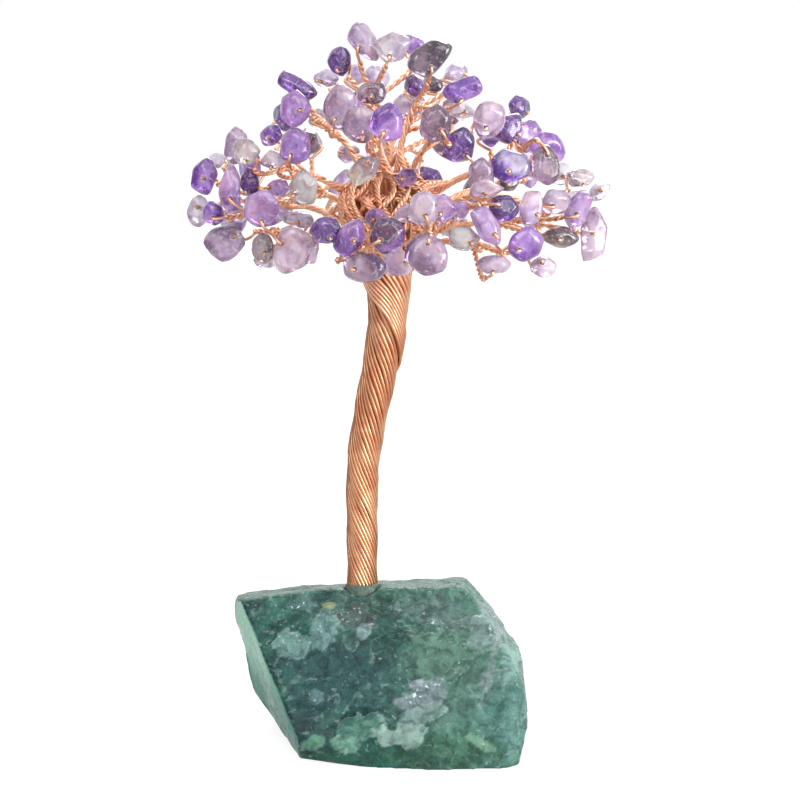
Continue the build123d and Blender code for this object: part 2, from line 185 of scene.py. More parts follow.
# %% Floor
floor_size = 3000 * mm
floor_matt_share = 0.25
floor_white = 1.1
floor_mirrored = 0.6
plain_white = (1, 1, 1, 1)


def flat_sheet(name, size):
    """A flat square for the stage, which isn't part of the object."""
    form = bmesh.new()
    bmesh.ops.create_grid(form, x_segments=1, y_segments=1, size=size / 2)
    sheet = form_object(name, form)
    sheet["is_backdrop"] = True
    return sheet


floor = flat_sheet("floor", floor_size)
pale = bpy.data.materials.new("pale_floor")
pale.use_nodes = True
tree = pale.node_tree
tree.nodes.clear()
ray = tree.nodes.new("ShaderNodeLightPath").outputs
seen = combine(tree, "MAXIMUM", ray["Is Camera Ray"], ray["Is Glossy Ray"])
seen = combine(tree, "MAXIMUM", seen, ray["Is Transmission Ray"])
matt = tree.nodes.new("ShaderNodeBsdfDiffuse")
feed(tree, matt.inputs["Color"], paint(248, 248, 248))
glow = tree.nodes.new("ShaderNodeEmission")
feed(tree, glow.inputs["Color"], plain_white)
feed(tree, glow.inputs["Strength"], ranged(tree, ray["Is Glossy Ray"], floor_white, floor_mirrored))
both = tree.nodes.new("ShaderNodeMixShader")
feed(tree, both.inputs[0], combine(tree, "MULTIPLY", seen, 1 - floor_matt_share))
feed(tree, both.inputs[1], matt.outputs[0])
feed(tree, both.inputs[2], glow.outputs[0])
output = tree.nodes.new("ShaderNodeOutputMaterial")
feed(tree, output.inputs["Surface"], both.outputs[0])
floor.data.materials.append(pale)
print("floor side in m", floor_size)

# %% World
world_strength = 1

world = bpy.data.worlds.new("studio")
scene.world = world
world.use_nodes = True
tree = world.node_tree
tree.nodes.clear()
even = tree.nodes.new("ShaderNodeBackground")
feed(tree, even.inputs["Color"], plain_white)
feed(tree, even.inputs["Strength"], world_strength)
output = tree.nodes.new("ShaderNodeOutputWorld")
feed(tree, output.inputs["Surface"], even.outputs[0])
print("world strength", world_strength)

# %% [markdown]
# Four soft boxes light the tree: a strong one high on the right, one low on the right that
# brightens that side of the trunk, a weaker one over the left front that opens the shadows, and
# one behind that shines through the stones and draws their edges.
# A dark card stands on the left, and only reflections see it. It gives the polished wire of the
# trunk the shaded side that the photograph shows.

# %% Lamps: place from the middle of the tree, side and watts
lamps = {
    "key_box": (Vector((550, -450, 550)) * mm, 600 * mm, 3.4),
    "fill_box": (Vector((-300, -500, 700)) * mm, 500 * mm, 2.5),
    "side_box": (Vector((750, -220, 60)) * mm, 500 * mm, 7),
    "rim_box": (Vector((150, 700, 550)) * mm, 400 * mm, 3),
}
for name, (place, size, watts) in lamps.items():
    lamp = bpy.data.lights.new(name, "AREA")
    lamp.shape = "SQUARE"
    lamp.size = size
    lamp.energy = watts
    holder = bpy.data.objects.new(name, lamp)
    holder.location = camera_target + place
    holder.rotation_euler = (-place).to_track_quat("-Z", "Y").to_euler()
    scene.collection.objects.link(holder)
    print(name, "watts", watts)

# %% Dark card
card_size = 700 * mm
card_place = Vector((-420, -60, -60)) * mm

card = flat_sheet("dark_card", card_size)
card.location = camera_target + card_place
card.rotation_euler = (-card_place).to_track_quat("Z", "Y").to_euler()
card.visible_camera = False
card.visible_diffuse = False
card.visible_transmission = False
card.visible_shadow = False
card.data.materials.append(new_finish("dark_card", Base_Color=paint(58, 38, 30))[0])
print("dark card side in m", card_size)

# %% [markdown]
# Bare copper wire is bright where it was drawn and a little darker where fingers and air have
# dulled it. It is a metal, so its colour is the colour of its reflections. A slow noise mixes two
# tones of copper and moves the roughness with them, and a fine noise roughens the skin. The crown
# is handled less and its hub lies in shade, so above the trunk's middle the wires run over to a
# brighter pair of tones, which are partly painted light. The slow noise is a node group, because
# every material here uses it.

# %% Shared node group: cloudy mask
cloud_inputs = {"Scale": 300, "Detail": 3, "Distortion": 0, "From": 0.35, "To": 0.65}

clouds = bpy.data.node_groups.new("clouds", "ShaderNodeTree")
for label, value in cloud_inputs.items():
    socket = clouds.interface.new_socket(label, in_out="INPUT", socket_type="NodeSocketFloat")
    socket.default_value = value
clouds.interface.new_socket("Mask", in_out="OUTPUT", socket_type="NodeSocketFloat")
start = clouds.nodes.new("NodeGroupInput")
end = clouds.nodes.new("NodeGroupOutput")
place = clouds.nodes.new("ShaderNodeTexCoord")
cloud = clouds.nodes.new("ShaderNodeTexNoise")
feed(clouds, cloud.inputs["Vector"], place.outputs["Object"])
for label in ("Scale", "Detail", "Distortion"):
    feed(clouds, cloud.inputs[label], start.outputs[label])
spread = clouds.nodes.new("ShaderNodeMapRange")
spread.interpolation_type = "SMOOTHSTEP"
feed(clouds, spread.inputs["Value"], cloud.outputs["Fac"])
feed(clouds, spread.inputs["From Min"], start.outputs["From"])
feed(clouds, spread.inputs["From Max"], start.outputs["To"])
feed(clouds, end.inputs["Mask"], spread.outputs["Result"])
print("group", clouds.name)

# %% [markdown]
# The mix node keeps one set of sockets for every kind of data that it can mix, so the sockets for
# colours are found by their numbers. A bump node only tilts the surface's normals, so it serves
# for grain that is too fine to be modelled.

# %% Helpers for materials
mix_sockets = (0, 6, 7)
mix_result = 2


def cloud_mask(tree, scale, detail=3, distortion=0, low=0.35, high=0.65):
    """The shared cloudy mask with its own values. A low and a high noise become nought and one."""
    use = tree.nodes.new("ShaderNodeGroup")
    use.node_tree = clouds
    for label, value in zip(cloud_inputs, (scale, detail, distortion, low, high)):
        use.inputs[label].default_value = value
    return use.outputs["Mask"]


def blend(tree, mask, first, second, mode="MIX"):
    """A mix of two colours, each a plain colour or another node's output."""
    mix = tree.nodes.new("ShaderNodeMix")
    mix.data_type = "RGBA"
    mix.blend_type = mode
    for number, value in zip(mix_sockets, (mask, first, second)):
        feed(tree, mix.inputs[number], value)
    return mix.outputs[mix_result]


def add_bump(tree, shader, height, distance, strength=1):
    """The height drives a bump node in front of the shader's normal."""
    bump = tree.nodes.new("ShaderNodeBump")
    feed(tree, bump.inputs["Height"], height)
    feed(tree, bump.inputs["Distance"], distance)
    feed(tree, bump.inputs["Strength"], strength)
    feed(tree, shader.inputs["Normal"], bump.outputs["Normal"])


# %% Copper
dull_height = 66 * mm
painted_light_height = 92 * mm
copper_roughness = (0.3, 0.42)
copper_bump = 0.01 * mm
copper_bump_strength = 0.15

copper, tree, shader = new_finish("copper", Metallic=1.0, IOR=1.5)
worn = cloud_mask(tree, scale=260, detail=4, distortion=0.4, low=0.3, high=0.7)
place = tree.nodes.new("ShaderNodeTexCoord")
split = tree.nodes.new("ShaderNodeSeparateXYZ")
feed(tree, split.inputs["Vector"], place.outputs["Object"])
height = tree.nodes.new("ShaderNodeMapRange")
height.interpolation_type = "SMOOTHSTEP"
feed(tree, height.inputs["From Min"], dull_height)
feed(tree, height.inputs["From Max"], painted_light_height)
feed(tree, height.inputs["Value"], split.outputs["Z"])
handled = blend(tree, worn, paint(230, 174, 136), paint(200, 134, 98))
# The crown's brighter tones are partly painted light, which lifts the hub that the crown shades.
fresh_and_painted_light = blend(tree, worn, paint(248, 208, 176), paint(236, 174, 140))
skin_colour = blend(tree, height.outputs["Result"], handled, fresh_and_painted_light)
feed(tree, shader.inputs["Base Color"], skin_colour)
feed(tree, shader.inputs["Roughness"], ranged(tree, worn, *copper_roughness))
grain = cloud_mask(tree, scale=5200, detail=2, low=0.2, high=0.8)
add_bump(tree, shader, grain, copper_bump, copper_bump_strength)
print("copper ready")

# %% [markdown]
# The CAD trunk has its wires as straight-sided rods, mitred at even stations. Their corners say
# where the trunk's middle is, how thick it is and how far the wires have turned, station by
# station. Reading these from the frame keeps the round wires on the very trunk of the model.

# %% Read the trunk's stations from the frame
strand_nodes = sorted(name for name in nodes if name.startswith("trunk_wire_"))
wire_radius = 0.275 * mm
rod_sides = 4


def rod_stations(node_name):
    """The middle of each mitred section of a rod, from its foot up."""
    form = merged_copy(node_name)
    corners = sorted((v.co.copy() for v in form.verts), key=lambda co: co.z)
    form.free()
    groups = [corners[i : i + rod_sides] for i in range(0, len(corners), rod_sides)]
    return [sum(group, Vector()) / len(group) for group in groups]


routes = [rod_stations(name) for name in strand_nodes]
trunk_middles = [sum(ring, Vector()) / len(ring) for ring in zip(*routes)]
trunk_radii = [
    sum((point - middle).length for point in ring) / len(ring) + wire_radius
    for ring, middle in zip(zip(*routes), trunk_middles)
]
first_turn, next_turn = (
    atan2(point.y - middle.y, point.x - middle.x)
    for point, middle in zip(routes[0][:2], trunk_middles)
)
turn_step = (first_turn - next_turn) % (2 * pi)
last_station = len(trunk_middles) - 1
print("stations", len(trunk_middles), "turn", round(turn_step, 3))
print("radii in mm", [round(radius / mm, 2) for radius in trunk_radii])


def between(values, station):
    """A value between two stations. Past the last one, its line is carried on."""
    low = min(int(station), len(values) - 2)
    share = station - low
    return values[low] * (1 - share) + values[low + 1] * share


# %% [markdown]
# A wire is a curve with a round bevel, made a mesh. All wires of a rope go into one curve object,
# one spline each. A helper lays wires round a centre line: it carries a square frame along the
# line without twisting it, and turns each wire's place in that frame left-hand as it goes, which
# is how the trunk is laid in the photograph.

# %% Helpers for wire
spline_steps = 2


def wire_mesh(name, wire_routes, bevel=1, full=1, swell=0):
    """Round wires along routes of points, as one mesh, at full size or fuller towards the end."""
    curve = bpy.data.curves.new(name, "CURVE")
    curve.dimensions = "3D"
    curve.bevel_depth = wire_radius
    curve.bevel_resolution = bevel
    curve.use_fill_caps = True
    for route in wire_routes:
        spline = curve.splines.new("NURBS")
        spline.points.add(len(route) - 1)
        for index, (point, place) in enumerate(zip(spline.points, route)):
            point.co = (*place, 1)
            point.radius = full + swell * (index / len(route)) ** 2
        spline.order_u = 3
        spline.use_endpoint_u = True
        spline.resolution_u = spline_steps
    holder = bpy.data.objects.new(name, curve)
    mesh = bpy.data.meshes.new_from_object(holder)
    bpy.data.objects.remove(holder)
    bpy.data.curves.remove(curve)
    mesh.name = name
    mesh.shade_smooth()
    return mesh


def line_frames(line):
    """For each point of a line: the direction along it and two square to it, never twisted."""
    frames = []
    square = None
    for index in range(len(line)):
        ahead = line[min(index + 1, len(line) - 1)] - line[max(index - 1, 0)]
        ahead.normalize()
        if square is None:
            square = ahead.orthogonal().normalized()
        square = (square - ahead * square.dot(ahead)).normalized()
        frames.append((ahead, square, ahead.cross(square)))
    return frames


def lay_wire(line, frames, reach_at, turn_at):
    """One wire beside a centre line, with its reach and its turn given by place."""
    route = []
    for index, (point, (_, first, second)) in enumerate(zip(line, frames)):
        share = index / (len(line) - 1)
        turn = turn_at(share)
        route.append(point + (first * cos(turn) + second * sin(turn)) * reach_at(share))
    return route


def close_points(line, spacing):
    """A line with points added, until none lie much further apart than the spacing."""
    dense = []
    for start, end in zip(line, line[1:]):
        count = max(int((end - start).length / spacing), 1)
        dense += [start + (end - start) * k / count for k in range(count)]
    return dense + [line[-1]]


# %% [markdown]
# The trunk: two dozen round wires lie side by side on a helix round the leaning middle. They
# follow the frame's stations for middle, girth and turn. Each wire strays a little in and out, and
# every few wires stand proud together, as hand-wound wire does, which makes the outline wavy.
# The wires are a little fuller than the solids' own, and more of them behind fill the gaps. Where
# the trunk widens, a few loose wires cross the others and dive in under them at their lower ends.
# Here and below, a stray is how far a noise pulls and a pace is how fast it changes. Fixed numbers
# inside a noise call only keep one noise apart from the next.

# %% Trunk wires
trunk_strands = 25
inner_strands = 22
inner_depth = 1.6 * wire_radius
steps_per_station = 5
stray = 0.06 * mm
stray_pace = 0.6
turn_stray = 0.06
turn_stray_pace = 0.4
proud = 0.1 * mm
proud_groups = 4
trunk_bevel = 2
trunk_full = 1.17
trunk_swell = 0.18
outer_seed = 3.7
inner_seed = 5.3


def trunk_place(station, turn, reach):
    """A place beside the trunk's middle, at a station, a turn and a reach."""
    return between(trunk_middles, station) + Vector((cos(turn), sin(turn), 0)) * reach


def trunk_wire(share_round, depth, seed):
    """One wire of the trunk: its place round the trunk, and how deep it lies."""
    route = []
    for step in range(last_station * steps_per_station + 1):
        station = step / steps_per_station
        reach = between(trunk_radii, station) - wire_radius - depth
        reach += stray * noise.noise((seed, station * stray_pace, 0))
        reach += proud * cos(2 * pi * share_round * proud_groups)
        turn = first_turn + 2 * pi * share_round - turn_step * station
        turn += turn_stray * noise.noise((seed, station * turn_stray_pace, 7))
        route.append(trunk_place(station, turn, reach))
    return route


# %% Loose wires that cross the trunk's front
crossing_wires = 6
crossing_steps = 24
crossing_high = 17.9
crossing_low = 12.4
crossing_gap = 0.24
crossing_start = 1.06 * pi
crossing_sweep = 1.01 * pi
crossing_flare = 1.5 * mm
flare_share = 0.5
tuck_share = 0.15
tuck_depth = 3.5 * wire_radius


def crossing_wire(number):
    """A loose wire across the trunk's front under the crown, from upper left to lower right."""
    route = []
    for step in range(crossing_steps + 1):
        share = step / crossing_steps
        station = crossing_high + (crossing_low - crossing_high) * share + number * crossing_gap
        turn = crossing_start + crossing_sweep * share
        tucked = 1 - min((1 - share) / tuck_share, 1)
        reach = between(trunk_radii, min(station, last_station)) + wire_radius
        reach += crossing_flare * sin(pi * min(share / flare_share, 1)) - tuck_depth * tucked
        route.append(trunk_place(station, turn, reach))
    return route


# %% Make the trunk
trunk_routes = [
    trunk_wire((k + 0.5) / inner_strands, inner_depth, k * inner_seed)
    for k in range(inner_strands)
]
trunk_routes += [trunk_wire(k / trunk_strands, 0, k * outer_seed) for k in range(trunk_strands)]
loose_routes = [crossing_wire(k) for k in range(crossing_wires)]
trunk_mesh = wire_mesh("trunk_wires", trunk_routes, trunk_bevel, trunk_full, trunk_swell)
loose_mesh = wire_mesh("loose_wires", loose_routes, trunk_bevel)
form = bmesh.new()
form.from_mesh(trunk_mesh)
form.from_mesh(loose_mesh)
form.to_mesh(trunk_mesh)
form.free()
bpy.data.meshes.remove(loose_mesh)
add_piece("trunk_wires", trunk_mesh, copper, ["trunk_core"] + strand_nodes)

# %% [markdown]
# The crown's plan repeats the part's own: for each limb its ring, its tip and how high it rises,
# and for each chip its place across, back and up in shares of the crown, where its twig leaves the
# limb, and the stone it is made of. The few sizes that the shares belong to are the part's too.

# %% Plan of the crown
crown_radius = 35.7 * mm
crown_height = 44.6 * mm
crown_depth = 30 * mm
crown_shift = 6.8 * mm
crown_drop = 3.3 * mm
limb_clearance = 0.3 * mm
ring_radii = {"inner": 1.3 * mm, "outer": 3.1 * mm}

crown_shares = {
    "top_left": ("inner", (-0.14, 0.02, 0.74), 0.45, (
        (-0.18, -0.1, 0.95, 1.0, "silver lilac"),
        (-0.035, -0.2, 0.93, 0.95, "silver"),
        (0.065, 0.15, 0.92, 0.9, "violet"),
        (-0.295, -0.05, 0.87, 0.9, "dark violet"),
        (-0.22, 0.2, 0.8, 0.8, "pale lilac"),
        (-0.365, 0.15, 0.79, 0.75, "pale lilac"),
    )),
    "upper_left": ("inner", (-0.36, -0.1, 0.62), 0.35, (
        (-0.5, -0.1, 0.77, 1.0, "dark violet"),
        (-0.505, -0.3, 0.695, 0.95, "orchid"),
        (-0.29, -0.42, 0.71, 0.9, "silver lilac"),
        (-0.405, 0.15, 0.625, 0.8, "clear"),
        (-0.255, 0.2, 0.49, 0.7, "pale lilac"),
    )),
    "centre_front_up": ("inner", (-0.12, -0.3, 0.54), 0.35, (
        (-0.135, -0.4, 0.76, 0.95, "smoke"),
        (-0.19, -0.52, 0.645, 1.0, "silver lilac"),
        (-0.06, -0.65, 0.66, 0.95, "violet"),
        (-0.17, -0.7, 0.485, 0.85, "olive grey"),
        (0.035, -0.2, 0.42, 0.7, "violet"),
    )),
    "upper_right": ("inner", (0.18, -0.15, 0.58), 0.35, (
        (0.435, -0.25, 0.65, 0.95, "blush"),
        (0.17, -0.5, 0.65, 1.0, "smoke"),
        (0.24, 0.35, 0.62, 0.8, "dark violet"),
    )),
    "top_right": ("inner", (0.08, 0.02, 0.7), 0.4, (
        (0.14, -0.15, 0.88, 1.0, "dark smoke"),
        (0.275, 0.2, 0.81, 0.9, "pale lilac"),
        (0.07, 0.12, 0.76, 0.95, "dark violet"),
        (0.16, 0.4, 0.75, 0.8, "dark smoke"),
        (0.31, -0.15, 0.76, 0.95, "violet"),
        (0.295, 0.08, 0.67, 0.75, "clear"),
    )),
    "left_up": ("outer", (-0.6, -0.05, 0.45), 0.3, (
        (-0.805, -0.1, 0.535, 1.0, "silver lilac"),
        (-0.745, -0.32, 0.53, 0.95, "cream"),
        (-0.635, -0.02, 0.575, 0.9, "violet"),
        (-0.615, -0.28, 0.495, 0.8, "clear"),
        (-0.505, -0.38, 0.555, 0.75, "violet"),
    )),
    "left_mid": ("outer", (-0.7, 0, 0.33), 0.18, (
        (-0.47, -0.45, 0.4, 0.75, "silver green"),
        (-0.595, -0.3, 0.385, 0.8, "lilac"),
        (-0.735, -0.18, 0.4, 0.9, "dark violet"),
        (-0.83, -0.3, 0.37, 0.95, "lilac"),
        (-0.965, -0.05, 0.415, 1.0, "violet"),
        (-0.92, 0.25, 0.455, 0.95, "clear"),
        (-1.0, 0.05, 0.27, 0.9, "clear"),
        (-0.915, -0.22, 0.28, 0.85, "violet"),
        (-0.81, 0.13, 0.255, 0.8, "pale lilac"),
    )),
    "front_left": ("outer", (-0.55, -0.15, 0.19), 0.12, (
        (-0.85, -0.25, 0.165, 1.0, "mauve"),
        (-0.667, -0.36, 0.155, 0.95, "olive grey"),
        (-0.523, -0.49, 0.158, 0.9, "blush"),
        (-0.445, -0.25, 0.14, 0.8, "blush"),
        (-0.67, 0.1, 0.07, 0.9, "clear"),
        (-0.485, -0.22, 0.255, 0.75, "silver"),
        (-0.67, -0.47, 0.315, 0.85, "lilac"),
    )),
    "front_centre_left": ("outer", (-0.2, -0.45, 0.16), 0.1, (
        (-0.17, -0.7, 0.11, 1.0, "mauve"),
        (-0.06, -0.8, 0.24, 0.95, "smoke violet"),
        (-0.24, -0.75, 0.23, 0.75, "violet"),
        (-0.35, -0.65, 0.25, 0.8, "dark violet"),
        (-0.115, -0.4, 0.28, 0.7, "violet"),
    )),
    "front_centre_right": ("outer", (0.15, -0.45, 0.18), 0.1, (
        (0.11, -0.85, 0.35, 1.0, "silver"),
        (0.195, -0.68, 0.34, 0.95, "lilac"),
        (0.285, -0.55, 0.315, 0.8, "lilac"),
        (0.13, -0.87, 0.172, 0.85, "mauve"),
        (-0.01, -0.55, 0.115, 0.85, "pale lilac"),
        (0.035, -0.48, 0.3, 0.7, "pale lilac"),
    )),
    "front_right": ("outer", (0.42, -0.45, 0.17), 0.12, (
        (0.415, -0.75, 0.275, 1.0, "lilac"),
        (0.605, -0.55, 0.18, 0.95, "violet"),
        (0.7, -0.35, 0.08, 0.9, "blush"),
        (0.445, -0.785, 0.13, 0.9, "silver lilac"),
        (0.305, -0.7, 0.22, 0.8, "silver green"),
    )),
    "right_mid": ("outer", (0.42, -0.3, 0.37), 0.2, (
        (0.393, -0.46, 0.445, 1.0, "silver lilac"),
        (0.54, -0.35, 0.475, 0.95, "royal violet"),
        (0.76, -0.3, 0.33, 0.9, "silver lilac"),
        (0.4, -0.65, 0.41, 0.8, "blush"),
        (0.53, -0.12, 0.39, 0.75, "dark smoke"),
    )),
    "right_low": ("outer", (0.65, -0.15, 0.25), 0.14, (
        (0.985, 0.0, 0.35, 1.0, "clear"),
        (0.875, -0.2, 0.3, 0.95, "lilac"),
        (0.955, -0.1, 0.185, 0.9, "blush"),
        (0.635, -0.45, 0.32, 0.85, "pale lilac"),
        (0.8, -0.3, 0.19, 0.8, "olive smoke"),
        (0.5, -0.55, 0.325, 0.55, "dark violet"),
        (0.89, -0.05, 0.41, 1.0, "cream"),
    )),
    "right_up": ("outer", (0.6, 0.0, 0.48), 0.3, (
        (0.29, -0.35, 0.55, 0.75, "dark violet"),
        (0.535, -0.1, 0.605, 1.0, "dark violet"),
        (0.64, 0.15, 0.56, 0.95, "lilac"),
        (0.725, -0.1, 0.525, 0.9, "orchid"),
        (0.71, -0.33, 0.475, 0.95, "smoke"),
        (0.8, 0.18, 0.41, 0.8, "clear"),
    )),
    "back_right": ("outer", (0.45, 0.5, 0.33), 0.2, (
        (0.45, 0.62, 0.55, 1.0, "violet"),
        (0.65, 0.55, 0.4, 0.95, "pale lilac"),
        (0.4, 0.85, 0.3, 0.9, "smoke"),
        (0.68, 0.5, 0.2, 0.85, "lilac"),
        (0.86, 0.3, 0.28, 0.8, "clear"),
        (0.6, 0.4, 0.66, 0.9, "dark violet"),
        (0.28, 0.78, 0.14, 0.75, "silver lilac"),
    )),
    "back_centre": ("outer", (-0.05, 0.5, 0.5), 0.3, (
        (-0.1, 0.9, 0.45, 1.0, "lilac"),
        (0.12, 0.9, 0.32, 0.9, "dark violet"),
        (0.05, 0.72, 0.64, 0.95, "silver lilac"),
        (-0.24, 0.68, 0.64, 0.9, "orchid"),
        (-0.12, 0.42, 0.78, 0.85, "pale lilac"),
        (0.22, 0.82, 0.49, 0.8, "smoke"),
        (-0.1, 0.8, 0.18, 0.75, "blush"),
    )),
    "back_left": ("outer", (-0.5, 0.5, 0.33), 0.2, (
        (-0.76, 0.45, 0.42, 1.0, "violet"),
        (-0.6, 0.6, 0.23, 0.95, "silver lilac"),
        (-0.46, 0.65, 0.5, 0.9, "smoke"),
        (-0.3, 0.85, 0.3, 0.85, "pale lilac"),
        (-0.58, 0.42, 0.62, 0.8, "dark violet"),
        (-0.84, 0.35, 0.2, 0.8, "lilac"),
        (-0.38, 0.7, 0.12, 0.75, "cream"),
    )),
}
crown_base = trunk_middles[-1].z - crown_drop
print("limbs", len(crown_shares), "chips", sum(len(row[3]) for row in crown_shares.values()))


def crown_point(across, back, up):
    """A place in the crown from its shares."""
    return Vector((
        crown_shift + across * crown_radius, back * crown_depth, crown_base + up * crown_height
    ))


def place_in_ring(limb):
    """How many limbs of the same ring come before this one."""
    ring = crown_shares[limb][0]
    return [name for name, row in crown_shares.items() if row[0] == ring].index(limb)


# %% [markdown]
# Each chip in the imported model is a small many-sided solid with a drilled hole. What the dressing
# needs from it is measured once: the flat sides that bound it, as directions and distances from
# its middle, and the axis of its hole. A side bounds the chip if the whole chip lies behind it.
# The walls of the hole fail that test, and the cross product of two of them is the hole's axis.

# %% Helpers that measure a chip
flat_within = 0.01 * mm
same_way = 0.999


def loose_parts(form):
    """The separate solids in a bmesh, each as a list of its vertices."""
    left = set(form.verts)
    parts = []
    while left:
        part = {left.pop()}
        newest = list(part)
        while newest:
            near = {edge.other_vert(v) for v in newest for edge in v.link_edges} - part
            part |= near
            newest = list(near)
        left -= part
        parts.append(list(part))
    return parts


def measure_chip(part):
    """The bounding sides of one CAD chip, and the middle and direction of its hole."""
    corners = [v.co.copy() for v in part]
    sides, walls, wall_corners = [], [], set()
    for face in {f for v in part for f in v.link_faces}:
        face.normal_update()
        corner = face.verts[0].co
        behind = max(face.normal.dot(co - corner) for co in corners)
        if behind >= flat_within:
            walls.append(face.normal.copy())
            wall_corners |= set(face.verts)
        elif all(face.normal.dot(normal) < same_way for normal, _ in sides):
            sides.append((face.normal.copy(), corner.copy()))
    axis = max((a.cross(b) for a in walls for b in walls), key=lambda v: v.length).normalized()
    hole = sum((v.co for v in wall_corners), Vector()) / len(wall_corners)
    return sides, hole, axis


def reach_along(planes, way, facing):
    """How far a chip reaches in one direction, by the sides that face that way enough."""
    return min(reach / normal.dot(way) for normal, reach in planes if normal.dot(way) > facing)


# %% Measure the chips
facing_hole = 0.9
facing_rim = 0.05
front_wire_step = 4

chips = {}
for limb, (_, _, _, rows) in crown_shares.items():
    form = merged_copy(f"chips_{limb}")
    found = [measure_chip(part) for part in loose_parts(form)]
    form.free()
    chips[limb] = []
    for number, (across, back, up, leave, stone) in enumerate(rows):
        middle = crown_point(across, back, up)
        sides, hole, axis = min(found, key=lambda chip: (chip[1] - middle).length)
        if axis.dot(Vector((across, back, 0))) < 0:
            axis = -axis
        toward = hole - middle
        toward = (toward - axis * toward.dot(axis)).normalized()
        planes = [(normal, (corner - middle).dot(normal)) for normal, corner in sides]
        in_front = (number + place_in_ring(limb)) % front_wire_step == 0
        chips[limb].append({
            "middle": middle,
            "planes": planes,
            "hole": hole,
            "axis": axis,
            "wire_side": axis if in_front else -axis,
            "toward": toward,
            "half": reach_along(planes, axis, facing_hole),
            "rim": reach_along(planes, toward, facing_rim),
            "leave": leave,
            "stone": stone,
        })
measured = [chip for group in chips.values() for chip in group]
print("chips", len(measured), "half thickness in mm", round(measured[0]["half"] / mm, 2))

# %% [markdown]
# A limb is a rope of five wires near the trunk, and two of them leave it past its middle. A twig
# is a twisted pair that runs out from the limb to a chip. One wire of the pair crosses the chip's
# back, or its front on every fourth chip, and goes through the hole, where its end is bent over.
# Round the hub, more ropes wind across each other before they join a limb, because the maker
# parts and twists the wires there by hand.

# %% Limb lines
limb_steps = 40
ring_start = radians(150)


def limb_bend(limb):
    """The three points that bend a limb: its root in the trunk's top, its knee and its tip."""
    ring, tip_shares, rise, _ = crown_shares[limb]
    in_ring = sum(row[0] == ring for row in crown_shares.values())
    angle = ring_start + 2 * pi * place_in_ring(limb) / in_ring
    root = trunk_middles[-1] + Vector((
        ring_radii[ring] * cos(angle), ring_radii[ring] * sin(angle), limb_clearance
    ))
    return root, root + Vector((0, 0, rise * crown_height)), crown_point(*tip_shares)


def bend_point(bend, share):
    """A point on the curve that starts at a root, heads for a knee and ends at a tip."""
    root, knee, tip = bend
    return root * (1 - share) ** 2 + knee * (2 * share * (1 - share)) + tip * share**2


def smooth_share(value, low, high):
    """Nought below a low value, one above a high one, and smooth between."""
    share = min(max((value - low) / (high - low), 0), 1)
    return share * share * (3 - 2 * share)


# %% Ropes of the limbs
rope_lay = 4.6 * mm
rope_spacing = 0.45 * mm
rope_reach = 1.7 * wire_radius
trio_reach = 1.16 * wire_radius
rope_stops = (1, 0.8, 1, 0.65, 1)
root_overlap = 5 * mm
root_steps = 6
sway = 0.25 * mm
sway_pace = 0.14


def rope(line, reach_at, stops, lay_length, phase):
    """Wires laid left-hand round a line, one for each stop, which is the share where it ends."""
    frames = line_frames(line)
    length = sum((end - start).length for start, end in zip(line, line[1:]))
    wires = []
    for number, stop in enumerate(stops):
        place = phase + 2 * pi * number / len(stops)
        route = lay_wire(
            line,
            frames,
            reach_at,
            lambda share, place=place: place - 2 * pi * share * length / lay_length,
        )
        wires.append(route[: int(len(route) * stop)])
    return wires


def limb_wires(bend, seed):
    """The rope of one limb, which sways a little and starts inside the trunk."""
    foot = [
        bend[0] - Vector((0, 0, root_overlap * (1 - k / root_steps))) for k in range(root_steps)
    ]
    line = foot + [bend_point(bend, k / limb_steps) for k in range(limb_steps + 1)]
    for index, point in enumerate(line):
        swing = [noise.noise((seed, index * sway_pace, apart)) for apart in (0, 5, 9)]
        line[index] = point + sway * Vector(swing)
    return rope(
        close_points(line, rope_spacing),
        lambda share: rope_reach + (trio_reach - rope_reach) * share,
        rope_stops,
        rope_lay,
        seed,
    )


# %% Twigs and their loops
twig_lay = 2.3 * mm
twig_spacing = 0.3 * mm
twig_least_steps = 8
twig_gap = 0.1 * mm
twig_lead = 0.12
twig_arrival = 0.2
probe = 0.02
loop_corner = 0.28 * mm
loop_dip = 0.05 * mm
loop_bend = (0.8, 0.82)
loop_flat = 0.45
loop_end = 0.3


def twig_line(bend, chip, rim):
    """A curve that leaves along the limb and arrives square at the chip's rim."""
    leave = chip["leave"]
    start = bend_point(bend, leave)
    ahead = bend_point(bend, min(leave + probe, 1)) - bend_point(bend, leave - probe)
    span = (rim - start).length
    first = start + ahead.normalized() * span * twig_lead
    second = rim + chip["toward"] * span * twig_arrival
    count = max(int(span / twig_spacing), twig_least_steps)
    line = []
    for k in range(count + 1):
        share = k / count
        left = 1 - share
        near = start * left**3 + first * (3 * share * left**2)
        line.append(near + second * (3 * share**2 * left) + rim * share**3)
    return line, span


